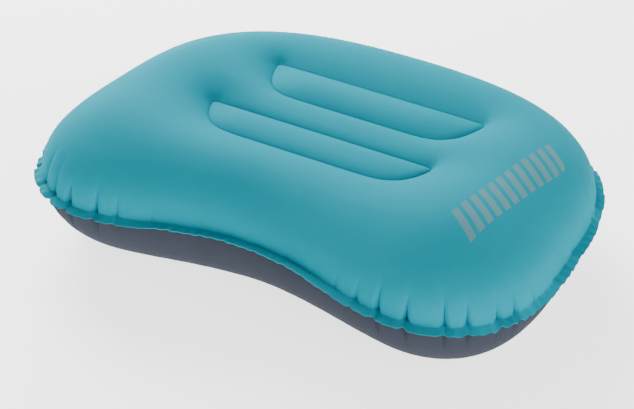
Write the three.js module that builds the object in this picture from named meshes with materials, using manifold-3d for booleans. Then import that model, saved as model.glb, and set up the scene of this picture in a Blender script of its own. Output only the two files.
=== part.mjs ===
// Inflatable camp pillow: two welded sheets held in shape by two internal tie sleeves, with a
// two-stage air valve.
// Millimetres, +Z up. X is the length, +Y the straight back edge, -Y the hollowed neck edge.
// The origin is at the middle of the base.
import * as THREE from "three";
import { mergeVertices } from "three/addons/utils/BufferGeometryUtils.js";
import Module from "manifold-3d";

const wasm = await Module();
wasm.setup();

// ---- Driving dimensions ----

const LENGTH = 420; // over the weld flange
const DEPTH = 300;
const SEAM_Z = 59; // height of the weld flange above the ground
const SHEET = 0.8; // laminate thickness
const GAP = 0.3; // between pieces that touch

// Plan outline: a bowed superellipse with a hollow in its neck edge.
const OUTLINE = {
  halfDepth: 151,
  power: 0.66, // exponent of the superellipse's sine and cosine
  taper: 0.06, // the back edge is narrower than the neck edge
  hollow: 30.7, // depth of the neck hollow
  hollowReach: 0.81, // share of the half length that the hollow takes up
  crown: 9.8, // bow of the back edge
  droop: 5.6, // both ends lie forward of the middle
};
const FLANGE = 7; // width of the weld flange
const SEAM_LIFT = 7; // the flange rises at the middle of the hollow

// Inflated height above the seam, between the seam and the nearest tie.
const TIE_RISE = 33; // the ties hold the sheet down at this height
const FULL_RISE = 41.5; // height that the air would fill there without them
const VALLEY = 8.5; // how fast the sheet rises beside a tie
const CROWN = 1.12; // fullness where the span between seam and tie is CROWN_SPAN
const CROWN_SPAN = 91;
const CROWN_FADE = 0.6; // wider spans are relatively flatter
const QUILT = 1.1; // how much flatter the quilted middle is
const UNDERSIDE = { neck: 1.17, back: 1.27 }; // how much more than the top the underside bulges

// Tie sleeves: closed bands that join the top sheet to the bottom sheet. Each has a straight back side at
// y = back, and a front side that is depth further forward and bows round to meet its two ends.
const TIE = { bow: 9, steps: 64, land: 4, web: 0.6, ventRadius: 5, ventX: 38 };
const TIES = [
  { name: "tie_sleeve_back", x: 3.5, back: 61.5, halfLength: 91, depth: 40.5 },
  { name: "tie_sleeve_front", x: -5.7, back: -11.5, halfLength: 95, depth: 33 },
];

// Valve seat on the underside, near the back left: its middle and the way it faces.
const VALVE_SEAT = new THREE.Vector3(-98.7, 114.2, 26.8);
const VALVE_TURN = THREE.MathUtils.degToRad(14); // from +Y towards -X
const VALVE_TILT = THREE.MathUtils.degToRad(44); // below the horizontal

// Valve sizes: radii, and levels measured outward from the fabric.
const VALVE = {
  flangeRadius: 17, flangeThick: 1, neckRadius: 12.4, neckTop: 3, lipRadius: 13.6, lipThick: 0.8,
  seatRadius: 9.5,
  plugTopRadius: 9.1, plugFootRadius: 8.4, plugFoot: -2, plugFlange: 13.5, plugThick: 1.2,
  boreRadius: 6, hubRadius: 2.6, hubHole: 1.3, spoke: 1.6, spokeThick: 1.2, spokes: 3,
  flapRadius: 7.6, flapThick: 0.6, stemRadius: 1, barbRadius: 1.6, flapTravel: 1.2,
  capRadius: 10.5, capThick: 1.4, capSkirt: 5.6, capSkirtFoot: 2.6, capWall: 1.3,
  tabWidth: 8, tabReach: 5, hingeWidth: 8, hingeWall: 0.9,
  plugHinge: { out: 17.2, level: 3.9 }, capHinge: { out: 15, level: 5.4 },
  tetherRing: 15.2, tetherThick: 1.2,
};

// Mesh fineness.
const COLUMNS = 30;
const RINGS = 11;
const TURN_STEPS = 36;

// ---- Materials ----

const material = (color, roughness, metalness = 0) =>
  new THREE.MeshStandardMaterial({ color, roughness, metalness });
const TEAL_FABRIC = material(0x2ba3b8, 0.75);
const GREY_FABRIC = material(0x565b6b, 0.8);
const TIE_FILM = material(0xd9dde0, 0.45);
const VALVE_PLASTIC = material(0x3a3e48, 0.5);
const CAP_PLASTIC = material(0x2ba3b8, 0.5);
const SILICONE = material(0xe6ebee, 0.35);

// ---- Solids ----

// A closed geometry as a manifold-3d solid.
function solid(geometry) {
  const bare = new THREE.BufferGeometry().setAttribute("position", geometry.getAttribute("position"));
  bare.setIndex(geometry.index);
  const merged = mergeVertices(bare, 1e-4);
  return new wasm.Manifold(
    new wasm.Mesh({
      numProp: 3,
      vertProperties: merged.attributes.position.array,
      triVerts: new Uint32Array(merged.index.array),
    }),
  );
}

// A manifold-3d solid as a geometry with flat-shaded normals.
function geometryOf(made) {
  const mesh = made.getMesh();
  const geometry = new THREE.BufferGeometry();
  geometry.setAttribute("position", new THREE.BufferAttribute(mesh.vertProperties, 3));
  geometry.setIndex(new THREE.BufferAttribute(mesh.triVerts, 1));
  const faceted = geometry.toNonIndexed();
  faceted.computeVertexNormals();
  return faceted;
}

function part(name, geometry, finish) {
  const mesh = new THREE.Mesh(geometry, finish);
  mesh.name = name;
  return mesh;
}

// ---- Plan outline ----

const signedPower = (value, power) => Math.sign(value) * Math.abs(value) ** power;

// Share of the neck hollow at a place along the length: 1 at the middle, 0 at its ends.
function hollowShare(x) {
  const along = x / ((LENGTH / 2) * OUTLINE.hollowReach);
  return Math.abs(along) < 1 ? Math.cos((Math.PI / 2) * along) ** 2 : 0;
}

// The outline before it is fitted to its box, at an angle from +X.
function bowedSuperellipse(angle) {
  const x0 = (LENGTH / 2) * signedPower(Math.cos(angle), OUTLINE.power);
  const y0 = OUTLINE.halfDepth * signedPower(Math.sin(angle), OUTLINE.power);
  const x = x0 * (1 - (OUTLINE.taper * y0) / OUTLINE.halfDepth);
  const front = THREE.MathUtils.clamp(0.5 - y0 / OUTLINE.halfDepth, 0, 1);
  const endward = ((2 * x) / LENGTH) ** 2;
  const hollow = OUTLINE.hollow * hollowShare(x) * front;
  const crown = OUTLINE.crown * (1 - endward) * (1 - front);
  return new THREE.Vector2(x, y0 + hollow + crown - OUTLINE.droop * endward);
}

// A closed polyline as evenly spaced points from its first one on.
const evened = (loop, count) => new THREE.Path([...loop, loop[0]]).getSpacedPoints(count).slice(0, count);

// The flange's edge, scaled and centred to LENGTH by DEPTH, from the +X end on.
function flangeEdge(count) {
  const fine = Array.from({ length: 720 }, (_, k) => bowedSuperellipse((k * Math.PI) / 360));
  const box = new THREE.Box2().setFromPoints(fine);
  const size = box.getSize(new THREE.Vector2());
  const middle = box.getCenter(new THREE.Vector2());
  const scale = new THREE.Vector2(LENGTH / size.x, DEPTH / size.y);
  fine.forEach((point) => point.sub(middle).multiply(scale));
  return evened(fine, count);
}

// The unit vectors that point out of a counter-clockwise closed polyline.
function outwards(loop) {
  return loop.map((_, k) => {
    const before = loop[(k + loop.length - 1) % loop.length];
    const after = loop[(k + 1) % loop.length];
    const along = after.clone().sub(before).normalize();
    return new THREE.Vector2(along.y, -along.x);
  });
}

function inset(loop, distance) {
  const outward = outwards(loop);
  return loop.map((point, k) => point.clone().addScaledVector(outward[k], -distance));
}

// A tie's line: the bowed front side from -X to +X, then back along the straight side.
function tieLoop(tie) {
  const front = Array.from({ length: 201 }, (_, k) => {
    const share = k / 100 - 1;
    const forward = tie.depth * (1 - Math.abs(share) ** TIE.bow);
    return new THREE.Vector2(tie.x + tie.halfLength * share, tie.back - forward);
  });
  return evened(front, TIE.steps);
}

const WELD_LINE = inset(flangeEdge(360), FLANGE);
const TIE_LINES = TIES.map(tieLoop);

function distanceTo(loop, point) {
  let nearest = Infinity;
  loop.forEach((a, k) => {
    const along = loop[(k + 1) % loop.length].clone().sub(a);
    const share = THREE.MathUtils.clamp(point.clone().sub(a).dot(along) / along.lengthSq(), 0, 1);
    nearest = Math.min(nearest, point.distanceTo(a.clone().addScaledVector(along, share)));
  });
  return nearest;
}

// ---- Inflated sheets ----

// Height above the seam, and how far the point is from the seam towards a tie, 0 to 1.
function inflated(point) {
  const fromWeld = distanceTo(WELD_LINE, point);
  const fromTie = Math.min(...TIE_LINES.map((line) => distanceTo(line, point)));
  const span = fromWeld + fromTie;
  const inward = fromWeld / span;
  const fullness = CROWN * (CROWN_SPAN / span) ** CROWN_FADE * (1 - QUILT * inward ** 4);
  const full = Math.sqrt(fromWeld * (FULL_RISE ** 2 / span + (fullness * fromTie) / 2));
  const valley = (full - TIE_RISE * inward) * Math.exp(-fromTie / VALLEY);
  return { height: full - valley, inward };
}

// The seam's own height at a place in plan.
function seamAt(point) {
  const front = THREE.MathUtils.clamp((-2 * point.y) / DEPTH, 0, 1);
  return SEAM_Z + SEAM_LIFT * hollowShare(point.x) * front ** 2;
}

// How much more than the top the underside bulges, at a place across the depth.
function undersideAt(y) {
  return THREE.MathUtils.mapLinear(y, -DEPTH / 2, DEPTH / 2, UNDERSIDE.neck, UNDERSIDE.back);
}

// Plan places of the mesh: a grid over the ties, then rings that run from its border out to the weld line.
function planPlaces() {
  const [back, front] = TIES;
  const margin = 18;
  const lines = [front.back - front.depth, front.back, back.back - back.depth, back.back];
  const rows = [lines[0] - margin];
  lines.forEach((line, k) => {
    const next = lines[k + 1] ?? line + 2 * margin;
    rows.push(line, (line + next) / 2);
  });
  const reach = front.halfLength + margin;
  const columns = Array.from({ length: COLUMNS + 1 }, (_, i) => -reach + (2 * reach * i) / COLUMNS);
  const last = rows.length - 1;
  const places = rows.flatMap((y) => columns.map((x) => new THREE.Vector2(x, y)));
  const at = (i, j) => j * columns.length + i;
  const faces = [];
  for (let j = 0; j < last; j++)
    for (let i = 0; i < COLUMNS; i++) faces.push([at(i, j), at(i + 1, j), at(i + 1, j + 1), at(i, j + 1)]);

  // The border, counter-clockwise.
  const border = [];
  for (let i = 0; i < COLUMNS; i++) border.push(at(i, 0));
  for (let j = 0; j < last; j++) border.push(at(COLUMNS, j));
  for (let i = COLUMNS; i > 0; i--) border.push(at(i, last));
  for (let j = last; j > 0; j--) border.push(at(0, j));

  // The middle of the border's +X side looks out to the outline's +X end, and the rest follow in step.
  const first = COLUMNS + last / 2;
  const spaced = flangeEdge(border.length);
  const edge = border.map((_, n) => spaced[(n - first + border.length) % border.length]);
  const weld = inset(edge, FLANGE);
  let inner = border;
  const addRing = (points) => {
    const ring = points.map((point) => places.push(point) - 1);
    ring.forEach((k, n) => {
      const next = (n + 1) % ring.length;
      faces.push([inner[n], k, ring[next], inner[next]]);
    });
    inner = ring;
    return ring;
  };
  for (let step = 1; step < RINGS; step++) {
    const share = Math.sin((Math.PI / 2) * (step / RINGS)); // closer together at the steep rim
    addRing(border.map((k, n) => places[k].clone().lerp(weld[n], share)));
  }
  const weldRing = addRing(weld);
  const edgeRing = addRing(edge);
  return { places, faces, weldRing, edgeRing };
}

// Presses whatever stands proud of the ground or of the valve seat back onto it.
function pressFlat(point, seatNormal) {
  const proud = point.clone().sub(VALVE_SEAT).dot(seatNormal);
  if (proud > 0) point.addScaledVector(seatNormal, -proud);
  point.z = Math.max(point.z, 0);
  return point;
}

// One sheet as a closed solid with its own thickness: side is 1 for the top and -1 for the bottom.
function sheet(side, plan, seatNormal) {
  const flangeRings = new Set([...plan.weldRing, ...plan.edgeRing]);
  const outer = plan.places.map((place, k) => {
    const { height, inward } = flangeRings.has(k) ? { height: 0, inward: 0 } : inflated(place);
    const seam = SEAM_Z + (seamAt(place) - SEAM_Z) * (1 - inward);
    const bulge = side > 0 ? 1 : undersideAt(place.y);
    const point = new THREE.Vector3(place.x, place.y, seam + side * (GAP / 2 + SHEET + bulge * height));
    return side > 0 ? point : pressFlat(point, seatNormal);
  });
  const skin = new THREE.BufferGeometry().setFromPoints(outer);
  const triangles = plan.faces.flatMap(([a, b, c, d]) =>
    side > 0 ? [a, b, c, a, c, d] : [a, c, b, a, d, c],
  );
  skin.setIndex(triangles);
  skin.computeVertexNormals();
  const normals = skin.getAttribute("normal");
  const inner = outer.map((point, k) => {
    const moved = point.clone().addScaledVector(new THREE.Vector3().fromBufferAttribute(normals, k), -SHEET);
    if (flangeRings.has(k)) moved.z = seamAt(plan.places[k]) + (side * GAP) / 2;
    return moved;
  });
  plan.edgeRing.forEach((k) => inner[k].setX(outer[k].x).setY(outer[k].y));

  const count = outer.length;
  const closed = [...triangles];
  for (let k = 0; k < triangles.length; k += 3)
    closed.push(triangles[k] + count, triangles[k + 2] + count, triangles[k + 1] + count);
  plan.edgeRing.forEach((a, n) => {
    const b = plan.edgeRing[(n + 1) % plan.edgeRing.length];
    if (side > 0) closed.push(a, a + count, b, b, a + count, b + count);
    else closed.push(a, b, a + count, b, b + count, a + count);
  });
  const geometry = new THREE.BufferGeometry().setFromPoints([...outer, ...inner]);
  geometry.setIndex(closed);
  return geometry;
}

// ---- Tie sleeves ----

// An I-section band swept round a tie's line, with vents that let air into its middle.
function tieSleeve(tie) {
  const top = SEAM_Z + TIE_RISE - GAP / 2;
  const [land, web, thick] = [TIE.land / 2, TIE.web / 2, TIE.web];
  const path = tieLoop(tie);
  const outward = outwards(path);
  const sectionAt = (bottom) => [
    [-land, top], [land, top], [land, top - thick], [web, top - thick],
    [web, bottom + thick], [land, bottom + thick], [land, bottom],
    [-land, bottom], [-land, bottom + thick], [-web, bottom + thick],
    [-web, top - thick], [-land, top - thick],
  ];
  const points = path.flatMap((middle, k) =>
    sectionAt(SEAM_Z - undersideAt(middle.y) * TIE_RISE + GAP / 2).map(([out, z]) => {
      const place = middle.clone().addScaledVector(outward[k], out);
      return new THREE.Vector3(place.x, place.y, z);
    }),
  );
  const index = [];
  const n = points.length / path.length;
  path.forEach((_, k) => {
    const next = (k + 1) % path.length;
    for (let s = 0; s < n; s++) {
      const [a, b] = [k * n + s, k * n + ((s + 1) % n)];
      const [c, d] = [next * n + ((s + 1) % n), next * n + s];
      index.push(a, b, d, b, c, d);
    }
  });
  const band = new THREE.BufferGeometry().setFromPoints(points);
  band.setIndex(index);
  let made = solid(band);
  for (const x of [-TIE.ventX, 0, TIE.ventX]) {
    const vent = new THREE.CylinderGeometry(TIE.ventRadius, TIE.ventRadius, 2 * tie.depth, 16);
    vent.translate(tie.x + x, tie.back - tie.depth / 2, SEAM_Z);
    made = made.subtract(solid(vent));
  }
  return part(tie.name, geometryOf(made), TIE_FILM);
}

// ---- Valve, in its own frame: Y points out of the fabric, X along it, Z up the slope towards the seam ----

function valveFrame() {
  const [turn, tilt] = [VALVE_TURN, VALVE_TILT];
  const outward = new THREE.Vector3(
    -Math.sin(turn) * Math.cos(tilt), Math.cos(turn) * Math.cos(tilt), -Math.sin(tilt),
  );
  const along = new THREE.Vector3(Math.cos(turn), Math.sin(turn), 0);
  const upslope = along.clone().cross(outward);
  const matrix = new THREE.Matrix4().makeBasis(along, outward, upslope).setPosition(VALVE_SEAT);
  return { outward, matrix };
}

const turned = (profile) =>
  new THREE.LatheGeometry(profile.map(([r, y]) => new THREE.Vector2(r, y)), TURN_STEPS);
const ringOf = (profile) => solid(turned([...profile, profile[0]]));
const rod = (radius, foot, top) => {
  const geometry = new THREE.CylinderGeometry(radius, radius, top - foot, TURN_STEPS);
  geometry.translate(0, (top + foot) / 2, 0);
  return solid(geometry);
};

// A box from low to high corners.
function block(low, high) {
  const size = high.map((value, k) => value - low[k]);
  const geometry = new THREE.BoxGeometry(...size);
  geometry.translate(...high.map((value, k) => (value + low[k]) / 2));
  return solid(geometry);
}

// A tongue with a round end, lying flat between two levels; way is the direction that it points in.
function tongue(from, to, width, foot, top, way) {
  const shape = new THREE.Shape();
  shape.moveTo(from, -width / 2);
  shape.absarc(to - width / 2, 0, width / 2, -Math.PI / 2, Math.PI / 2, false);
  shape.lineTo(from, width / 2);
  const settings = { depth: top - foot, bevelEnabled: false, curveSegments: 10 };
  const geometry = new THREE.ExtrudeGeometry(shape, settings);
  geometry.rotateX(Math.PI / 2);
  geometry.translate(0, top, 0);
  geometry.rotateY(way);
  return solid(geometry);
}

function valveBase() {
  const v = VALVE;
  const flangeTop = -SHEET - GAP;
  return ringOf([
    [v.seatRadius, flangeTop - v.flangeThick], [v.flangeRadius, flangeTop - v.flangeThick],
    [v.flangeRadius, flangeTop], [v.neckRadius, flangeTop], [v.neckRadius, v.neckTop - v.lipThick - 0.2],
    [v.lipRadius, v.neckTop - v.lipThick], [v.lipRadius, v.neckTop], [v.seatRadius, v.neckTop],
  ]);
}

// A ring clipped round the neck under its lip, with a strap that stands up to the plug's hinge.
function plugTether() {
  const v = VALVE;
  const [foot, top] = [GAP, GAP + v.tetherThick];
  const half = v.hingeWidth / 2;
  const strapOut = v.plugHinge.out + 2 * GAP + v.hingeWall;
  const hole = rod(v.neckRadius + GAP, foot - 1, top + 1);
  return rod(v.tetherRing, foot, top)
    .add(block([-strapOut, foot, -half], [-v.neckRadius, top, half]))
    .subtract(hole)
    .add(block([-strapOut, foot, -half], [-strapOut + v.hingeWall, v.plugHinge.level - 0.4, half]));
}

// The deflation plug: a tapered bung with an air way, a spoked seat for the flap, a pull tab and the
// hinge post of the cap.
function valvePlug() {
  const v = VALVE;
  const foot = v.neckTop + GAP;
  const top = foot + v.plugThick;
  let made = ringOf([
    [v.boreRadius, v.plugFoot], [v.plugFootRadius, v.plugFoot], [v.plugTopRadius, foot],
    [v.plugFlange, foot], [v.plugFlange, top], [v.boreRadius, top],
  ]);
  const spokeTop = v.plugFoot + v.spokeThick;
  for (let k = 0; k < v.spokes; k++) {
    const geometry = new THREE.BoxGeometry(v.boreRadius + 1, v.spokeThick, v.spoke);
    geometry.translate((v.boreRadius + 1) / 2, spokeTop - v.spokeThick / 2, 0);
    geometry.rotateY((k * 2 * Math.PI) / v.spokes);
    made = made.add(solid(geometry));
  }
  const half = v.hingeWidth / 2;
  const post = v.capHinge.out + GAP + v.hingeWall;
  return made
    .add(rod(v.hubRadius, v.plugFoot, spokeTop))
    .subtract(rod(v.hubHole, v.plugFoot - 1, spokeTop + 1))
    .add(tongue(v.plugFlange - 1.5, v.plugFlange + v.tabReach, v.tabWidth, foot, top, 0))
    .add(block([-v.plugHinge.out + GAP, foot, -half], [-v.plugFlange + 1.5, top, half]))
    .add(block([-half, foot, v.plugFlange - 1.5], [half, top, post]))
    .add(block([-half, foot, post - v.hingeWall], [half, v.capHinge.level - 0.5, post]));
}

// The one-way flap: a silicone disc hung from the spokes by its barbed stem.
function checkFlap() {
  const v = VALVE;
  const top = v.plugFoot - GAP;
  const barb = v.plugFoot + v.spokeThick + v.flapTravel;
  return solid(
    turned([
      [0, top - v.flapThick], [v.flapRadius - 0.4, top - v.flapThick], [v.flapRadius, top - 0.3],
      [v.flapRadius - 0.3, top], [v.stemRadius, top], [v.stemRadius, barb], [v.barbRadius, barb],
      [0.6, barb + 1.4], [0, barb + 1.4],
    ]),
  );
}

// The outer cap: a hollow bung that shuts the plug's air way, with a pull tab and a hinge ear.
function valveCap() {
  const v = VALVE;
  const foot = v.neckTop + v.plugThick + 2 * GAP;
  const top = foot + v.capThick;
  const half = v.hingeWidth / 2;
  return solid(
    turned([
      [0, foot + 0.2], [v.capSkirt - v.capWall, foot + 0.2], [v.capSkirt - v.capWall, v.capSkirtFoot],
      [v.capSkirt - 0.2, v.capSkirtFoot], [v.capSkirt, foot], [v.capRadius, foot],
      [v.capRadius, top - 0.6], [v.capRadius - 0.6, top], [0, top],
    ]),
  )
    .add(tongue(v.capRadius - 1.5, v.capRadius + v.tabReach, v.tabWidth, foot, top - 0.2, Math.PI / 2))
    .add(block([-half, foot, v.capRadius - 1.5], [half, top - 0.2, v.capHinge.out - GAP]));
}

function valve(matrix) {
  const group = new THREE.Group();
  group.applyMatrix4(matrix);
  group.add(
    part("valve_base", geometryOf(valveBase()), VALVE_PLASTIC),
    part("plug_tether", geometryOf(plugTether()), VALVE_PLASTIC),
    part("valve_plug", geometryOf(valvePlug()), VALVE_PLASTIC),
    part("check_flap", geometryOf(checkFlap()), SILICONE),
    part("valve_cap", geometryOf(valveCap()), CAP_PLASTIC),
  );
  return group;
}

// ---- The pillow ----

// The bottom sheet has a hole for the valve's neck.
function bottomShell(plan, frame) {
  const hole = new THREE.CylinderGeometry(VALVE.neckRadius + GAP, VALVE.neckRadius + GAP, 12, TURN_STEPS);
  hole.applyMatrix4(frame.matrix);
  return geometryOf(solid(sheet(-1, plan, frame.outward)).subtract(solid(hole)));
}

const pillow = new THREE.Group();
pillow.name = "camp_pillow";
const plan = planPlaces();
const frame = valveFrame();
pillow.add(
  part("top_shell", geometryOf(solid(sheet(1, plan, frame.outward))), TEAL_FABRIC),
  part("bottom_shell", bottomShell(plan, frame), GREY_FABRIC),
  ...TIES.map(tieSleeve),
  valve(frame.matrix),
);

export default pillow;
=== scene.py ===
"""Looks of the inflatable camp pillow, in metres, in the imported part's frame."""

import math

import bmesh
import bpy
import numpy as np
from mathutils import Matrix, Vector, geometry


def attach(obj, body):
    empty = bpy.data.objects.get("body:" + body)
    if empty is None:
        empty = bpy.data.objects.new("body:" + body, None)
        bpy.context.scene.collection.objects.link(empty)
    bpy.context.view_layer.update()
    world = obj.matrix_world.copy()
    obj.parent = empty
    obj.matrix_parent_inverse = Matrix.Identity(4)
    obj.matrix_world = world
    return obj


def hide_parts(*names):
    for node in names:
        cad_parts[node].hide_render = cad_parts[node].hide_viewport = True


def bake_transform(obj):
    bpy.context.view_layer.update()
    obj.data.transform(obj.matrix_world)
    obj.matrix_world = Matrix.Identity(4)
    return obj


# ---- Driving dimensions, the same shape as the CAD shells ----

LENGTH = 0.420
DEPTH = 0.300
SEAM_Z = 0.059
FLANGE = 0.007
HALF_DEPTH = 0.151
POWER = 0.66
TAPER = 0.06
HOLLOW = 0.0307
HOLLOW_REACH = 0.81
CROWN_BOW = 0.0098
DROOP = 0.0056
SEAM_LIFT = 0.009  # the air lets it sink to the 7 mm that the shells have

TIE_RISE = 0.0333  # the welded ties hold the sheet at this height above the seam
FULL_RISE = 0.0435  # height that the air would fill there without them
VALLEY = 0.020  # how far the valley beside a tie reaches
CROWN = 1.12
CROWN_SPAN = 0.091
CROWN_FADE = 0.6
QUILT = 1.1
UNDERSIDE = (1.17, 1.27)  # at the neck edge and at the back edge

# Each tie's weld: x of its middle, y of its straight back side, half its length, and the depth of its bow.
TIES = ((0.0035, 0.0615, 0.091, 0.0405), (-0.0057, -0.0115, 0.095, 0.033))
TIE_POWER = 9
TIE_STEPS = 400

# ---- Mesh ----

OUTLINE_STEPS = 2880
DENSE = 1440  # points of the evened outline that the rings are read from
# Places of the rings' points across the panel between two creases.
PANEL_NODES = (0, 0.045, 0.11, 0.19, 0.29, 0.39, 0.5, 0.61, 0.71, 0.81, 0.89, 0.955)
# Arcs above the seam at which the rings lie, on a section of ordinary width.
RING_ARCS = (
    0.0022, 0.0046, 0.0072, 0.0100, 0.0130, 0.0162, 0.0196, 0.0232, 0.0270, 0.0310, 0.0350, 0.0392, 0.0434,
)
SECTION = CROWN_SPAN + 0.009
SECTION_DEPTH = 0.09
SECTION_STEPS = 20000
EVEN_FROM, EVEN_TO = 6, 12  # rings over which the creases' denser spacing evens out
CELL = 0.0043  # triangle size inside the rings
CLEAR = 0.6  # cells left between the rings or the weld rows and the triangles' grid
BESIDE_TIE = (0.0018, 0.0042)  # rows of mesh points beside each weld
LEAST_BESIDE = 0.9  # share of its distance that a row's point keeps, or it is left out
FLANGE_STEPS = 2
START_ROUNDS = 10  # smoothing of the start heights
END_ROUNDS = 16  # smoothing of the settled skin
RIM_SMOOTH = (0.019, 0.036)  # arcs above the seam where it sets in
START_RIM = 0.3  # the start heights are smoothed this much nearer to the seam
TIE_SMOOTH = (0.003, 0.009)

# ---- Creases along the seam ----

CREASE_SPACING = 0.022
CREASE_JITTER = 0.2
CREASE_DEPTH = 0.0066
CREASE_WIDTH = 0.0044
CREASE_LENGTH = (0.017, 0.030)
SHORTEST = 0.6  # length of a crease without strength, compared to a full one
NARROWING = 0.45  # share of its width that a crease loses along its length
CREASE_FADE = 1.2
CREASE_SECTION = 1.4
PANEL_BULGE = 0.0009
BULGE_LENGTH = 1.6  # how far a panel bulges, compared to the crease beside it
SHARP_BEND = 12.0  # outline curvature, per metre, that gives creases of full strength
BEND_WINDOW = 121  # outline points that its curvature is averaged over
CREASE_SPREAD = (0.75, 1.2)
LEAST_CREASE = 0.05
PLEAT_SHARPNESS = 0.7  # of a crease's edges in the subdivided mesh
PLEAT_RINGS = 8
SIDE_CREASE = 0.2  # creases at the ends and the back, compared to those of the front lobes
UNDER_CREASE = 0.6  # the underside's creases are this much of the top's
FLANGE_CREASE = 0.6
FLANGE_DROOP = (0.28, 0.62)  # radians below the horizontal
RIPPLE = 0.0013
RIPPLE_SPACING = 0.0087
FRONT_RIPPLE = 0.3  # ripple of the front and back edges, compared to that of the ends
END_FACING = (0.5, 0.85)  # how far the outline turns towards an end for the full ripple
NECK_LIFT = 0.6  # share of the droop that the stretched flange of the neck hollow lacks
SEED = 11

# ---- Cloth ----

FRAMES = 20
CLOTH = {
    "quality": 7,
    "mass": 0.0008,
    "tension_stiffness": 5,
    "compression_stiffness": 2,
    "shear_stiffness": 1,
    "bending_stiffness": 0.01,
    "tension_damping": 0.5,
    "compression_damping": 0.5,
    "shear_damping": 0.5,
    "bending_damping": 0.1,
    "use_pressure": True,
    "uniform_pressure_force": 4.0,
}
CLOTH_THICK = 0.0006
SHARP_ANGLE = math.radians(50)
ROLLED_SHARE = 0.7  # share of the crown's span whose steep rim is rolled out in the flat cut
ROLLED_STEPS = 4000
FLANGE_CUT = 0.02  # width of the flange in the flat cut, so that its weave is finer

# ---- Valve, as in the CAD ----

VALVE_SEAT = Vector((-0.0987, 0.1142, 0.0268))
VALVE_TURN = math.radians(14)
VALVE_TILT = math.radians(44)
SEAT_FLAT = 0.019
SEAT_BLEND = 0.036
NECK_HOLE = 0.0127
NECK_CUT = 0.012
NECK_SIDES = 72
SOFT_EDGE = 0.00025
STRAP_STEPS = 10

# The living hinges, in the valve's frame: lowest and highest corner, the fixed and the moved body, and where
# the bend starts and ends.
PLUG_STRAP = (
    (-0.0187, 0.0035, -0.003),
    (-0.0166, 0.0041, 0.003),
    "pillow",
    "plug",
    (-0.0178, 0.0038, 0),
    (-0.0169, 0.0038, 0),
)
CAP_STRAP = (
    (-0.003, 0.0049, 0.0144),
    (0.003, 0.0055, 0.0162),
    "plug",
    "cap",
    (0, 0.0052, 0.0153),
    (0, 0.0052, 0.0147),
)

# ---- Finishes ----

TEAL = (0.0, 0.255, 0.340, 1)
TEAL_LIGHT = (0.0, 0.300, 0.385, 1)
GREY = (0.031, 0.037, 0.050, 1)
GREY_LIGHT = (0.048, 0.055, 0.072, 1)
TIE_FILM = (0.69, 0.72, 0.75, 1)
VALVE_GREY = (0.042, 0.048, 0.065, 1)
CAP_TEAL = (0.024, 0.34, 0.44, 1)
SILICONE = (0.79, 0.83, 0.85, 1)
SHEEN = 0.04
SHINE = 0.02
FABRIC_ROUGH = 0.72
WELD_SMOOTHER = 0.15  # roughness that the heat takes from the weld
THREAD = 0.0004
NAP_SCALE = 900.0
DYE_SCALE = 22.0
FABRIC_BUMP = 0.00012
# Painted shade: along the tie welds' valleys the fabric's colour is darkened to this share.
PAINTED_VALLEY_SHADE = 0.45
GRAIN_SCALE = 2500.0
GRAIN_BUMP = 0.00003
SHADE_SCALE = 120.0
SHADE_DARK = 0.75
PLASTIC_ROUGH = 0.4
SILICONE_ROUGH = 0.3

# The print at the right end, a row of slanted bars on the flat cut.
MARK = {
    "middle": (0.1554, -0.0203),
    "turn": math.radians(83.8),
    "length": 0.130,
    "height": 0.024,
    "bars": 12,
    "slant": 0.5,
    "fill": 0.62,
    "ink": (0.13, 0.27, 0.30, 1),
    "cover": 0.85,
}

# ---- Studio ----

SKY = 0.36
FLOOR_SIZE = 14
FLOOR_Z = -0.0006
FLOOR_SHADES = ((0.90, 0.90, 0.91, 1), (0.93, 0.93, 0.94, 1))
FLOOR_GLOW = 2.2  # a lit table, as a studio's pale sweep
LIGHTS = (("key", (-1.3, 1.1, 1.1), 1.2, 112), ("fill", (1.8, -0.8, 1.0), 1.4, 30))  # place, size, power
LIT = Vector((0, 0, 0.05))
EYE_AZIMUTH = math.radians(30.725)
EYE_ELEVATION = math.radians(33.091)
EYE_DISTANCE = 1.4739
EYE_TARGET = Vector((0, -0.0114, 0.050))
EYE_LENS = 112.27
EYE_SHIFT = (-0.0158, -0.0313)


# ---- Outline ----


def hollow_share(x):
    along = x / (LENGTH / 2 * HOLLOW_REACH)
    return np.where(np.abs(along) < 1, np.cos(math.pi / 2 * along) ** 2, 0)


def bowed_superellipse(count):
    angle = np.linspace(0, 2 * math.pi, count, endpoint=False)

    def signed(value):
        return np.sign(value) * np.abs(value) ** POWER

    x0 = LENGTH / 2 * signed(np.cos(angle))
    y0 = HALF_DEPTH * signed(np.sin(angle))
    x = x0 * (1 - TAPER * y0 / HALF_DEPTH)
    front = np.clip(0.5 - y0 / HALF_DEPTH, 0, 1)
    endward = (2 * x / LENGTH) ** 2
    bow = HOLLOW * hollow_share(x) * front + CROWN_BOW * (1 - endward) * (1 - front) - DROOP * endward
    points = np.stack([x, y0 + bow], 1)
    low, high = points.min(0), points.max(0)
    return (points - (low + high) / 2) / (high - low) * (LENGTH, DEPTH)


def along_of(loop):
    along = np.roll(loop, -1, 0) - np.roll(loop, 1, 0)
    return along / np.linalg.norm(along, axis=1)[:, None]


def outward_of(loop):
    along = along_of(loop)
    return np.stack([along[:, 1], -along[:, 0]], 1)


def even(loop, count):
    """The loop as evenly spaced points, and its length."""
    closed = np.vstack([loop, loop[:1]])
    arc = np.concatenate([[0], np.cumsum(np.linalg.norm(np.diff(closed, axis=0), axis=1))])
    places = np.arange(count) * arc[-1] / count
    return np.stack([np.interp(places, arc, closed[:, k]) for k in (0, 1)], 1), arc[-1]


def read_at(loop, places):
    """Points of an evenly spaced loop at places given as shares of the way round."""
    closed = np.vstack([loop, loop[:1]])
    at = np.linspace(0, 1, len(closed))
    return np.stack([np.interp(places % 1, at, closed[:, k]) for k in range(loop.shape[1])], 1)


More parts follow.
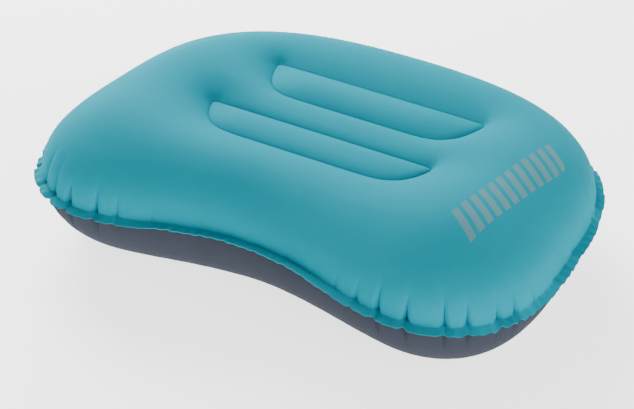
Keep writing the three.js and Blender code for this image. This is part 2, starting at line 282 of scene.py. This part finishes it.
EDGE, EDGE_LENGTH = even(bowed_superellipse(OUTLINE_STEPS), DENSE)
WELD = EDGE - outward_of(EDGE) * FLANGE


# ---- Inflated height ----


def nearest_on(points, loop):
    """Distance from each point to a closed line, and the nearest place on it."""
    best = np.full(len(points), np.inf)
    place = np.zeros_like(points)
    for a, b in zip(loop, np.roll(loop, -1, 0)):
        along = b - a
        share = np.clip((points - a) @ along / (along @ along), 0, 1)
        near = a + share[:, None] * along
        distance = np.linalg.norm(points - near, axis=1)
        closer = distance < best
        best[closer] = distance[closer]
        place[closer] = near[closer]
    return best, place


def tie_loop(x, back, half, depth):
    """One tie's weld line, counter-clockwise: the bowed front side, then the straight back side."""
    share = np.linspace(-1, 1, TIE_STEPS, endpoint=False)
    front = np.stack([x + half * share, back - depth * (1 - np.abs(share) ** TIE_POWER)], 1)
    straight = np.stack([x - half * share, np.full(TIE_STEPS, back)], 1)
    loop = np.vstack([front, straight])
    _, length = even(loop, TIE_STEPS)
    loop, _ = even(loop, round(length / CELL))
    return (np.roll(loop, 1, 0) + 2 * loop + np.roll(loop, -1, 0)) / 4


TIE_LOOPS = [tie_loop(*tie) for tie in TIES]


def from_ties(points):
    return np.min([nearest_on(points, loop)[0] for loop in TIE_LOOPS], 0)


def height(weld_distance, tie_distance):
    """Rise above the seam of air-filled cloth, and how far in from the weld it is as a share."""
    span = weld_distance + tie_distance
    inward = weld_distance / span
    fullness = CROWN * (CROWN_SPAN / span) ** CROWN_FADE * (1 - QUILT * inward**4)
    full = np.sqrt(weld_distance * (FULL_RISE**2 / span + fullness * tie_distance / 2))
    valley = np.maximum(1 - tie_distance / VALLEY, 0) ** 2
    return full - (full - TIE_RISE * inward) * valley, inward


def seam_lift(points):
    front = np.clip(-2 * points[:, 1] / DEPTH, 0, 1)
    return SEAM_LIFT * hollow_share(points[:, 0]) * front**2


# ---- Creases ----


def crease_plan():
    """Where the creases cross the seam, as shares of the way round, and how strong and long each is."""
    rng = np.random.default_rng(SEED)
    count = round(EDGE_LENGTH / CREASE_SPACING)
    jitter = rng.uniform(-CREASE_JITTER, CREASE_JITTER, count)
    places = (np.arange(count) + 0.5 + jitter) / count
    along = along_of(WELD)
    turn = np.arctan2(
        along[:, 0] * np.roll(along, -1, 0)[:, 1] - along[:, 1] * np.roll(along, -1, 0)[:, 0],
        (along * np.roll(along, -1, 0)).sum(1),
    )
    bend = turn / (EDGE_LENGTH / DENSE)
    window = np.hanning(BEND_WINDOW)
    bend = np.convolve(np.tile(bend, 3), window / window.sum(), "same")[DENSE : 2 * DENSE]
    facing = read_at(outward_of(WELD), places)
    shown = SIDE_CREASE + (1 - SIDE_CREASE) * np.clip(-facing[:, 1], 0, 1)
    strength = np.interp(places, np.arange(DENSE) / DENSE, bend) / SHARP_BEND * shown
    strength = np.clip(strength * rng.uniform(*CREASE_SPREAD, count), LEAST_CREASE, 1)
    length = rng.uniform(*CREASE_LENGTH, count) * (SHORTEST + (1 - SHORTEST) * strength)
    droop = rng.uniform(*FLANGE_DROOP, count)
    return places, strength, length, droop


def ring_places(creases):
    """Where the rings' points lie: dense about the creases, and evened out for the inner rings."""
    gaps = np.diff(np.append(creases, creases[0] + 1))
    clustered = (creases[:, None] + gaps[:, None] * np.array(PANEL_NODES)).ravel()
    count = len(clustered)
    drift = clustered - np.arange(count) / count
    return clustered, np.arange(count) / count + drift.mean()


def crease_depth(places, arc, plan, scale):
    """How far points are drawn in, at shares of the way round and at one arc above the seam."""
    creases, strength, length, _ = plan
    depth = np.zeros(len(places))
    gaps = np.diff(np.append(creases, creases[0] + 1)) * EDGE_LENGTH
    for place, power, reach, gap in zip(creases, strength, length, gaps):
        fade = max(0, 1 - arc / reach) ** CREASE_FADE
        away = ((places - place + 0.5) % 1 - 0.5) * EDGE_LENGTH
        width = CREASE_WIDTH * (1 - NARROWING * min(arc / reach, 1))
        section = np.maximum(0, 1 - np.abs(away) / width) ** CREASE_SECTION
        depth += scale * CREASE_DEPTH * power * fade * section
        across = np.clip(away / gap, 0, 1)
        bulge = PANEL_BULGE * power * max(0, 1 - arc / (BULGE_LENGTH * reach))
        depth -= bulge * 4 * across * (1 - across)
    return depth


# ---- Mesh of one sheet in plan ----


def inside(points, loop):
    found = np.zeros(len(points), bool)
    x, y = points[:, 0], points[:, 1]
    for a, b in zip(loop, np.roll(loop, -1, 0)):
        if a[1] == b[1]:
            continue
        crosses = (a[1] > y) != (b[1] > y)
        found ^= crosses & (x < (b[0] - a[0]) * (y - a[1]) / (b[1] - a[1]) + a[0])
    return found


def ring_insets():
    """Plan insets of the rings, whose arcs above the seam are RING_ARCS on a section of ordinary width."""
    inset = np.linspace(0, SECTION_DEPTH, SECTION_STEPS)
    rise, _ = height(inset, SECTION - inset)
    arc = np.concatenate([[0], np.cumsum(np.hypot(np.diff(inset), np.diff(rise)))])
    return np.interp(RING_ARCS, arc, inset)


def sheet_plan(creases):
    """Plan points, faces, ring count and the ids of the tie welds' points."""
    clustered, evened = ring_places(creases)
    count = len(clustered)
    insets = np.concatenate([[0], ring_insets()])
    rings, shares = [], []
    loop, done = WELD, 0
    for k, inset in enumerate(insets):
        loop = loop - outward_of(loop) * (inset - done)
        done = inset
        ease = np.clip((k - EVEN_FROM) / (EVEN_TO - EVEN_FROM), 0, 1)
        share = clustered + (evened - clustered) * ease
        rings.append(read_at(loop, share))
        shares.append(share)
    ring_points = np.vstack(rings)

    tie_ids, constraints, tie_points = [], [], []
    start = len(ring_points)
    for loop in TIE_LOOPS:
        ids = [start + k for k in range(len(loop))]
        start += len(loop)
        tie_ids += ids
        constraints += list(zip(ids, ids[1:] + ids[:1]))
        tie_points.append(loop)
    for loop in TIE_LOOPS:
        for offset in BESIDE_TIE:
            for side in (-1, 1):
                beside = loop + side * offset * outward_of(loop)
                tie_points.append(beside[from_ties(beside) > LEAST_BESIDE * offset])

    columns = np.arange(-LENGTH / 2, LENGTH / 2, CELL)
    rows = np.arange(-DEPTH / 2, DEPTH / 2, CELL * math.sqrt(3) / 2)
    grid = np.vstack([
        np.stack([columns + CELL / 2 * (j % 2), np.full(len(columns), y)], 1) for j, y in enumerate(rows)
    ])
    inner = rings[-1]
    grid = grid[inside(grid, inner)]
    grid = grid[nearest_on(grid, WELD)[0] > insets[-1] + CLEAR * CELL]
    grid = grid[from_ties(grid) > BESIDE_TIE[-1] + CLEAR * CELL]
    points = np.vstack([ring_points, *tie_points, grid])

    first = (len(rings) - 1) * count
    last_ring = list(range(first, first + count))
    constraints += list(zip(last_ring, last_ring[1:] + last_ring[:1]))
    edges = [(a - first, b - first) for a, b in constraints]
    made = geometry.delaunay_2d_cdt([Vector(p) for p in points[first:]], edges, [], 1, 1e-7)
    middles = np.array([np.mean([made[0][i][:] for i in face], 0) for face in made[2]])
    faces = []
    for k in range(len(rings) - 1):
        for i in range(count):
            j = (i + 1) % count
            faces.append((k * count + i, k * count + j, (k + 1) * count + j, (k + 1) * count + i))
    for face, kept in zip(made[2], inside(middles, inner)):
        if kept:
            a, b, c = (points[first + i] for i in face)
            turn = (b[0] - a[0]) * (c[1] - a[1]) - (b[1] - a[1]) * (c[0] - a[0])
            faces.append(tuple(first + i for i in (face if turn > 0 else face[::-1])))
    return points, faces, shares, tie_ids


# ---- Start shape of the whole skin ----


def vertex_normals(points, faces):
    normals = np.zeros_like(points)
    for size in (3, 4):
        some = np.array([f for f in faces if len(f) == size])
        one = points[some[:, size // 2]] - points[some[:, 0]]
        other = points[some[:, -1]] - points[some[:, 1]]
        across = np.cross(one, other)
        for k in range(size):
            np.add.at(normals, some[:, k], across)
    return normals / np.linalg.norm(normals, axis=1)[:, None]


def ramp(values, ends):
    return np.clip((values - ends[0]) / (ends[1] - ends[0]), 0, 1)


def smoothed(values, faces, freedom, rounds):
    """Values evened out between neighbours, each as much as its freedom allows."""
    pairs = np.vstack([np.stack([face, np.roll(face, -1)], 1) for face in faces])
    count = np.bincount(pairs[:, 0], minlength=len(values))
    for _ in range(rounds):
        sums = [np.bincount(pairs[:, 0], column[pairs[:, 1]], len(values)) for column in values.T]
        total = np.stack(sums, 1)
        mean = total / np.maximum(count, 1)[:, None]
        values = values + freedom[:, None] * (mean - values) / 2
    return values


def skin_shape():
    """Points and faces of both sheets and the flange, with what the later steps need to know about them."""
    plan = crease_plan()
    creases, _, _, droop = plan
    flat, faces, shares, tie_ids = sheet_plan(creases)
    count = len(shares[0])
    distance, near = nearest_on(flat, WELD)
    distance[:count] = 0
    tie_distance = from_ties(flat)
    rise, inward = height(distance, tie_distance)
    freedom = ramp(distance, START_RIM * np.array(RIM_SMOOTH)) * ramp(tie_distance, TIE_SMOOTH)
    rise = smoothed(rise[:, None], faces, freedom, START_ROUNDS)[:, 0]
    seam = SEAM_Z + seam_lift(flat) * (1 - inward)
    bulge = np.interp(flat[:, 1], (-DEPTH / 2, DEPTH / 2), UNDERSIDE)
    top = np.column_stack([flat, seam + rise])
    bottom = np.column_stack([flat, seam - rise * bulge])
    total = len(flat)
    to_bottom = np.concatenate([np.arange(count), np.arange(total, 2 * total - count)])
    points = np.vstack([top, bottom[count:]])
    top_faces = faces
    bottom_faces = [tuple(int(to_bottom[i]) for i in face[::-1]) for face in faces]
    normals = vertex_normals(points, top_faces + bottom_faces)

    arcs = (0, *RING_ARCS)
    for k, (arc, share) in enumerate(zip(arcs, shares)):
        ring = slice(k * count, (k + 1) * count)
        points[ring] -= normals[ring] * crease_depth(share, arc, plan, 1)[:, None]
        if k:
            under = to_bottom[ring]
            points[under] -= normals[under] * crease_depth(share, arc, plan, UNDER_CREASE)[:, None]

    # The flange follows the creased weld line, and each panel of it droops its own way.
    share = shares[0]
    panel = np.repeat(droop, len(PANEL_NODES))
    neck = hollow_share(points[:count, 0]) * (points[:count, 1] < 0)
    panel *= 1 - NECK_LIFT * neck
    smooth_panel = (panel + 0.5 * np.roll(panel, 1) + 0.5 * np.roll(panel, -1)) / 2
    out = read_at(outward_of(WELD), share)
    drawn = crease_depth(share, 0, plan, 1) * (1 - FLANGE_CREASE)
    sideways = ramp(np.abs(out[:, 0]), END_FACING)
    wave = np.sin(2 * math.pi * share * EDGE_LENGTH / RIPPLE_SPACING)
    ripple = RIPPLE * (FRONT_RIPPLE + (1 - FRONT_RIPPLE) * sideways) * wave
    flange, flange_faces = [], []
    previous = np.arange(count)
    for step in range(1, FLANGE_STEPS + 1):
        part = step / FLANGE_STEPS
        reach = FLANGE * part * np.cos(smooth_panel) + drawn * part
        ring = points[:count].copy()
        ring[:, :2] += out * reach[:, None]
        ring[:, 2] -= FLANGE * part * np.sin(smooth_panel)
        ring[:, 2] += ripple * part
        ids = len(points) + (step - 1) * count + np.arange(count)
        for i in range(count):
            j = (i + 1) % count
            flange_faces.append((int(ids[i]), int(ids[j]), int(previous[j]), int(previous[i])))
        flange.append(ring)
        previous = ids
    points = np.vstack([points, *flange])
    pinned = tie_ids + [int(to_bottom[i]) for i in tie_ids]
    arc = np.interp(distance, (0, *ring_insets()), (0, *RING_ARCS))
    freedom = ramp(arc, RIM_SMOOTH) * ramp(tie_distance, TIE_SMOOTH)
    both = np.concatenate([freedom, freedom[count:], np.zeros(FLANGE_STEPS * count)])
    return {
        "points": points,
        "top": top_faces,
        "bottom": bottom_faces,
        "flange": flange_faces,
        "freedom": both,
        "ties": set(tie_ids),
        "pinned": pinned,
        "flat": flat,
        "near": near,
        "share": shares[0],
        "count": count,
        "to_bottom": to_bottom,
    }


# ---- Cloth ----


def inflate(skin):
    """Lets air pressure settle the skin, with the tie welds held, and returns its points."""
    mesh = bpy.data.meshes.new("skin")
    mesh.from_pydata(skin["points"].tolist(), [], skin["top"] + skin["bottom"] + skin["flange"])
    cloth_object = bpy.data.objects.new("skin", mesh)
    bpy.context.collection.objects.link(cloth_object)
    held = cloth_object.vertex_groups.new(name="held")
    held.add(skin["pinned"], 1.0, "REPLACE")
    blown = cloth_object.vertex_groups.new(name="blown")
    blown.add(list(range(len(skin["points"]) - FLANGE_STEPS * skin["count"])), 1.0, "REPLACE")
    modifier = cloth_object.modifiers.new("cloth", "CLOTH")
    cloth = modifier.settings
    for key, value in CLOTH.items():
        setattr(cloth, key, value)
    cloth.vertex_group_pressure = "blown"
    cloth.vertex_group_mass = "held"
    cloth.effector_weights.gravity = 0
    modifier.collision_settings.use_collision = False
    modifier.point_cache.frame_start = 1
    modifier.point_cache.frame_end = FRAMES
    scene = bpy.context.scene
    for frame_number in range(1, FRAMES + 1):
        scene.frame_set(frame_number)
    shown = cloth_object.evaluated_get(bpy.context.evaluated_depsgraph_get())
    settled = np.empty(3 * len(skin["points"]))
    shown.data.vertices.foreach_get("co", settled)
    bpy.data.objects.remove(cloth_object)
    scene.frame_set(1)
    return settled.reshape(-1, 3)


# ---- Shells ----


def valve_matrix():
    """The valve's own frame: Y out of the fabric, X along it, Z up the slope towards the seam."""
    outward = Vector((
        -math.sin(VALVE_TURN) * math.cos(VALVE_TILT),
        math.cos(VALVE_TURN) * math.cos(VALVE_TILT),
        -math.sin(VALVE_TILT),
    ))
    along = Vector((math.cos(VALVE_TURN), math.sin(VALVE_TURN), 0))
    axes = Matrix((along, outward, along.cross(outward))).transposed().to_4x4()
    return Matrix.Translation(VALVE_SEAT) @ axes


def seat_valve(points):
    """Brings the underside flat round the valve."""
    axes = np.array(valve_matrix())
    local = (points - axes[:3, 3]) @ axes[:3, :3]
    radius = np.hypot(local[:, 0], local[:, 2])
    near = (radius < SEAT_BLEND) & (np.abs(local[:, 1]) < SEAT_FLAT)
    ease = np.clip((radius - SEAT_FLAT) / (SEAT_BLEND - SEAT_FLAT), 0, 1)
    ease = ease * ease * (3 - 2 * ease)
    level = -CLOTH_THICK / 2
    local[near, 1] = level + (local[near, 1] - level) * ease[near]
    return local @ axes[:3, :3].T + axes[:3, 3]


def cut_flat(flat, near):
    """Places on the flat cut of the cloth: the plan with the arc of the steep rim rolled out."""
    inset = np.linspace(0, CROWN_SPAN * ROLLED_SHARE, ROLLED_STEPS)
    rise, _ = height(inset, CROWN_SPAN - inset)
    extra = np.concatenate([[0], np.cumsum(np.hypot(np.diff(inset), np.diff(rise)) - np.diff(inset))])
    away = near - flat
    distance = np.linalg.norm(away, axis=1)
    rolled = extra[-1] - np.interp(distance, inset, extra)
    return flat + away / np.maximum(distance, 1e-9)[:, None] * rolled[:, None]


def add_mesh(name, points, faces):
    mesh = bpy.data.meshes.new(name)
    mesh.from_pydata(np.asarray(points).tolist(), [], faces)
    mesh.update()
    mesh.shade_smooth()
    made = bpy.data.objects.new(name, mesh)
    bpy.context.collection.objects.link(made)
    return made


def shell(name, skin, settled, side):
    """One sheet with its half of the flange: side is 1 for the top and -1 for the underside."""
    count, sheet_total = skin["count"], len(skin["flat"])
    flange_first = len(settled) - FLANGE_STEPS * count
    flange_ids = np.arange(flange_first, len(settled))
    if side > 0:
        sheet_ids = np.arange(sheet_total)
        faces = skin["top"] + skin["flange"]
    else:
        sheet_ids = skin["to_bottom"]
        faces = skin["bottom"] + [face[::-1] for face in skin["flange"]]
    ids = np.concatenate([sheet_ids, flange_ids])
    renumber = {int(old): new for new, old in enumerate(ids)}
    points = settled[ids].copy()
    welded = np.zeros(len(ids))
    welded[:count] = 1
    welded[sheet_total:] = 1
    points[:, 2] += side * CLOTH_THICK / 2 * welded
    made = add_mesh(name, points, [tuple(renumber[i] for i in face) for face in faces])

    # Sharp creases, the welds' marks, the tie lines that get painted shade, and the flat cut that the weave
    # follows.
    mesh = made.data
    sharp = mesh.attributes.new("crease_edge", "FLOAT", "EDGE")
    per_panel = len(PANEL_NODES)
    for edge in mesh.edges:
        a, b = sorted(edge.vertices)
        if b - a == count and b < PLEAT_RINGS * count and a % per_panel == 0:
            sharp.data[edge.index].value = PLEAT_SHARPNESS
        elif b < count or (a in skin["ties"] and b in skin["ties"]):
            sharp.data[edge.index].value = 1.0
    mesh.attributes.new("weld", "FLOAT", "POINT").data.foreach_set("value", welded)
    # Painted shade: the tie welds' points are marked so that the fabric's colour darkens along them.
    valley = np.zeros(len(ids))
    valley[list(skin["ties"])] = 1
    mesh.attributes.new("valley", "FLOAT", "POINT").data.foreach_set("value", valley)
    cut = cut_flat(skin["flat"], skin["near"])
    rim = cut[:count] + read_at(outward_of(WELD), skin["share"]) * FLANGE_CUT
    cut = np.vstack([cut, rim, rim])
    layer = mesh.uv_layers.new(name="cut")
    corners = np.empty(len(mesh.loops), int)
    mesh.loops.foreach_get("vertex_index", corners)
    layer.data.foreach_set("uv", cut[corners].ravel())

    smooth = made.modifiers.new("smooth", "SUBSURF")
    smooth.levels = 1
    smooth.render_levels = 1
    thick = made.modifiers.new("thick", "SOLIDIFY")
    thick.thickness = CLOTH_THICK
    thick.offset = 0
    return made


def settle_mesh(made):
    """Applies the modifiers, and keeps folds and cut edges crisp."""
    bpy.context.view_layer.objects.active = made
    for modifier in [m.name for m in made.modifiers]:
        bpy.ops.object.modifier_apply(modifier=modifier)
    made.data.set_sharp_from_angle(angle=SHARP_ANGLE)


def bore_neck(made):
    """Cuts the hole that the valve's neck goes through."""
    bpy.ops.mesh.primitive_cylinder_add(vertices=NECK_SIDES, radius=NECK_HOLE, depth=NECK_CUT)
    cutter = bpy.context.object
    cutter.matrix_world = valve_matrix() @ Matrix.Rotation(math.pi / 2, 4, "X")
    hole = made.modifiers.new("neck hole", "BOOLEAN")
    hole.object = cutter
    hole.operation = "DIFFERENCE"
    settle_mesh(made)
    bpy.data.objects.remove(cutter)


# ---- Materials ----


class Paint:
    """A material's node tree, with short ways to add to it."""

    def __init__(self, name):
        self.material = bpy.data.materials.new(name)
        self.material.use_nodes = True
        self.nodes = self.material.node_tree.nodes
        self.shader = self.nodes["Principled BSDF"]

    def add(self, kind, inputs=(), **settings):
        node = self.nodes.new(kind)
        for key, value in settings.items():
            setattr(node, key, value)
        for key, value in dict(inputs).items():
            self.put(value, node.inputs[key])
        return node

    def put(self, value, socket):
        if isinstance(value, bpy.types.NodeSocket):
            self.material.node_tree.links.new(value, socket)
        else:
            socket.default_value = value

    def math(self, operation, a, b=0.0, c=0.0):
        return self.add("ShaderNodeMath", {0: a, 1: b, 2: c}, operation=operation).outputs[0]

    def mix(self, share, a, b):
        node = self.add("ShaderNodeMix", data_type="RGBA")
        for value, socket in zip((share, a, b), (node.inputs[0], node.inputs[6], node.inputs[7])):
            self.put(value, socket)
        return node.outputs[2]

    def noise(self, place, scale, detail=2.0):
        return self.add("ShaderNodeTexNoise", {"Vector": place, "Scale": scale, "Detail": detail}).outputs[0]

    def finish(self, color, roughness, height=None, bump=0.0, **fixed):
        self.put(color, self.shader.inputs["Base Color"])
        self.put(roughness, self.shader.inputs["Roughness"])
        if height is not None:
            node = self.add("ShaderNodeBump", {"Height": height, "Distance": bump, "Strength": 1.0})
            self.put(node.outputs[0], self.shader.inputs["Normal"])
        for key, value in fixed.items():
            self.shader.inputs[key.replace("_", " ")].default_value = value
        return self.material


def print_mask(paint, u, v):
    """1 inside a printed row of slanted bars, on the flat cut."""
    cos, sin = math.cos(MARK["turn"]), math.sin(MARK["turn"])
    du = paint.math("SUBTRACT", u, MARK["middle"][0])
    dv = paint.math("SUBTRACT", v, MARK["middle"][1])
    along = paint.math("ADD", paint.math("MULTIPLY", du, cos), paint.math("MULTIPLY", dv, sin))
    across = paint.math("SUBTRACT", paint.math("MULTIPLY", dv, cos), paint.math("MULTIPLY", du, sin))
    slanted = paint.math("SUBTRACT", along, paint.math("MULTIPLY", across, MARK["slant"]))
    pitch = MARK["length"] / MARK["bars"]
    phase = paint.math("FRACT", paint.math("DIVIDE", paint.math("ADD", slanted, 10 * MARK["length"]), pitch))
    bar = paint.math("LESS_THAN", phase, MARK["fill"])
    in_length = paint.math("LESS_THAN", paint.math("ABSOLUTE", slanted), MARK["length"] / 2)
    in_height = paint.math("LESS_THAN", paint.math("ABSOLUTE", across), MARK["height"] / 2)
    return paint.math("MULTIPLY", bar, paint.math("MULTIPLY", in_length, in_height))


def fabric(name, color, light, printed=False):
    """Brushed knit laminate: fine threads, a soft nap, slightly uneven dye, and painted shade along the tie
    welds.
    """
    paint = Paint(name)
    cut = paint.add("ShaderNodeUVMap", uv_map="cut").outputs[0]
    split = paint.add("ShaderNodeSeparateXYZ", {0: cut})
    u, v = split.outputs[0], split.outputs[1]
    rows = paint.math("SINE", paint.math("MULTIPLY", u, 2 * math.pi / THREAD))
    columns = paint.math("SINE", paint.math("MULTIPLY", v, 2 * math.pi / THREAD))
    weave = paint.math("MULTIPLY", rows, columns)
    nap = paint.noise(cut, NAP_SCALE, 4.0)
    patches = paint.noise(cut, DYE_SCALE, 3.0)
    weld = paint.add("ShaderNodeAttribute", attribute_name="weld").outputs["Fac"]
    # The tie welds' lines, along which shade is painted into the colour.
    valley = paint.add("ShaderNodeAttribute", attribute_name="valley").outputs["Fac"]
    dyed = paint.mix(paint.math("MULTIPLY_ADD", patches, 0.5, 0.0), color, light)
    dyed = paint.mix(paint.math("MULTIPLY", nap, 0.25), dyed, light)
    if printed:
        dyed = paint.mix(paint.math("MULTIPLY", print_mask(paint, u, v), MARK["cover"]), dyed, MARK["ink"])
    # Painted shade: along the tie welds' valley lines the colour darkens towards this.
    valley_shade_color = tuple(PAINTED_VALLEY_SHADE * c for c in color[:3]) + (1,)
    dyed = paint.mix(paint.math("MULTIPLY", paint.math("POWER", valley, 3.0), 0.8), dyed, valley_shade_color)
    surface = paint.math("MULTIPLY_ADD", weave, 0.25, paint.math("MULTIPLY", nap, 1.2))
    surface = paint.math("MULTIPLY", surface, paint.math("MULTIPLY_ADD", weld, -0.5, 1.0))
    roughness = paint.math("MULTIPLY_ADD", weld, -WELD_SMOOTHER, FABRIC_ROUGH)
    gloss = {"Sheen_Weight": SHEEN, "Sheen_Roughness": 0.5, "Sheen_Tint": light, "Specular_IOR_Level": SHINE}
    return paint.finish(dyed, roughness, surface, FABRIC_BUMP, **gloss)


def moulded(name, color, roughness):
    """Moulded plastic or silicone with a faint grain."""
    paint = Paint(name)
    place = paint.add("ShaderNodeTexCoord").outputs["Object"]
    grain = paint.noise(place, GRAIN_SCALE, 3.0)
    shade = paint.noise(place, SHADE_SCALE)
    darker = tuple(SHADE_DARK * c for c in color[:3]) + (1,)
    tinted = paint.mix(shade, darker, color)
    return paint.finish(tinted, paint.math("MULTIPLY_ADD", shade, 0.15, roughness), grain, GRAIN_BUMP)


# ---- Valve ----


def strap(name, low, high, fixed, moved, start, end, material):
    """A living hinge: a thin strip in the valve's frame, divided into rows along its shorter way."""
    low, high = Vector(low), Vector(high)
    across = 0 if high.x - low.x < high.z - low.z else 2
    other = 2 - across
    strip = bmesh.new()
    rows = []
    for k in range(STRAP_STEPS + 1):
        corners = []
        for y in (low.y, high.y):
            for edge in (low, high):
                place = Vector((0, y, 0))
                place[across] = low[across] + (high[across] - low[across]) * (k / STRAP_STEPS)
                place[other] = edge[other]
                corners.append(strip.verts.new(place))
        rows.append(corners)
    for before, after in zip(rows, rows[1:]):
        for i, j in ((0, 1), (1, 3), (3, 2), (2, 0)):
            strip.faces.new((before[i], before[j], after[j], after[i]))
    for row in (rows[0], rows[-1]):
        strip.faces.new((row[0], row[1], row[3], row[2]))
    bmesh.ops.recalc_face_normals(strip, faces=strip.faces)
    mesh = bpy.data.meshes.new(name)
    strip.to_mesh(mesh)
    strip.free()
    to_row = valve_matrix()
    mesh.transform(to_row)
    made = bpy.data.objects.new(name, mesh)
    bpy.context.collection.objects.link(made)
    made.data.materials.append(material)
    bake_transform(made)


def dress(node, material):
    node.data.materials.clear()
    node.data.materials.append(material)


def dress_valve(nodes):
    """Gives the valve's CAD pieces their finishes and soft edges, and adds its straps."""
    plastic = moulded("valve_plastic", VALVE_GREY, PLASTIC_ROUGH)
    cap_plastic = moulded("cap_plastic", CAP_TEAL, PLASTIC_ROUGH)
    silicone = moulded("silicone", SILICONE, SILICONE_ROUGH)
    finishes = {
        "valve_base": plastic,
        "plug_tether": plastic,
        "valve_plug": plastic,
        "check_flap": silicone,
        "valve_cap": cap_plastic,
    }
    for name, material in finishes.items():
        dress(nodes[name], material)
        bevel = nodes[name].modifiers.new("soft edges", "BEVEL")
        bevel.width = SOFT_EDGE
        bevel.segments = 2
        bevel.limit_method = "ANGLE"
    strap("plug_strap", *PLUG_STRAP, plastic)
    strap("cap_strap", *CAP_STRAP, cap_plastic)


# ---- Stage ----


def add_floor():
    paint = Paint("floor")
    dust = paint.noise(paint.add("ShaderNodeTexCoord").outputs["Object"], 30.0)
    shade = paint.mix(dust, *FLOOR_SHADES)
    finish = paint.finish(shade, 0.9, Emission_Color=(1, 1, 1, 1), Emission_Strength=FLOOR_GLOW)
    bpy.ops.mesh.primitive_plane_add(size=FLOOR_SIZE, location=(0, 0, FLOOR_Z))
    floor = bpy.context.object
    floor.name = "floor"
    floor.data.materials.append(finish)


def add_light(name, place, size, power):
    data = bpy.data.lights.new(name, "AREA")
    data.size = size
    data.energy = power
    made = bpy.data.objects.new(name, data)
    made.location = place
    made.rotation_euler = (LIT - Vector(place)).to_track_quat("-Z", "Y").to_euler()
    bpy.context.collection.objects.link(made)


def add_camera():
    data = bpy.data.cameras.new("camera")
    data.lens = EYE_LENS
    data.shift_x, data.shift_y = EYE_SHIFT
    camera = bpy.data.objects.new("camera", data)
    back = Vector((
        math.sin(EYE_AZIMUTH) * math.cos(EYE_ELEVATION),
        -math.cos(EYE_AZIMUTH) * math.cos(EYE_ELEVATION),
        math.sin(EYE_ELEVATION),
    ))
    camera.location = EYE_TARGET + back * EYE_DISTANCE
    camera.rotation_euler = (-back).to_track_quat("-Z", "Y").to_euler()
    bpy.context.collection.objects.link(camera)
    bpy.context.scene.camera = camera


def stage():
    add_floor()
    world = bpy.data.worlds.new("studio")
    bpy.context.scene.world = world
    world.use_nodes = True
    sky = world.node_tree.nodes["Background"]
    sky.inputs["Color"].default_value = (1, 1, 1, 1)
    sky.inputs["Strength"].default_value = SKY
    for light in LIGHTS:
        add_light(*light)
    add_camera()


# ---- The pillow ----


def build(nodes):
    skin = skin_shape()
    settled = inflate(skin)
    settled = smoothed(settled, skin["top"] + skin["bottom"], skin["freedom"], END_ROUNDS)
    settled[:, 2] = np.maximum(settled[:, 2], CLOTH_THICK / 2)
    settled = seat_valve(settled)
    top = shell("top_skin", skin, settled, 1)
    bottom = shell("bottom_skin", skin, settled, -1)
    top.data.materials.append(fabric("teal_fabric", TEAL, TEAL_LIGHT, printed=True))
    bottom.data.materials.append(fabric("grey_fabric", GREY, GREY_LIGHT))
    settle_mesh(top)
    bore_neck(bottom)
    for made, node in ((top, "top_shell"), (bottom, "bottom_shell")):
        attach(made, "pillow")
        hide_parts(node)

    film = moulded("tie_film", TIE_FILM, PLASTIC_ROUGH)
    for name in ("tie_sleeve_back", "tie_sleeve_front"):
        dress(nodes[name], film)
    dress_valve(nodes)


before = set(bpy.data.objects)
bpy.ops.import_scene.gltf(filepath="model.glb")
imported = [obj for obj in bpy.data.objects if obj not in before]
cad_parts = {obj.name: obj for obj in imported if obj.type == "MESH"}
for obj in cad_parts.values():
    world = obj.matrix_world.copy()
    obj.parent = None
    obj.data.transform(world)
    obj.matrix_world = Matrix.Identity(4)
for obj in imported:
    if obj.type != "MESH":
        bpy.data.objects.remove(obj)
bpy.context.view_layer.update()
build(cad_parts)
stage()
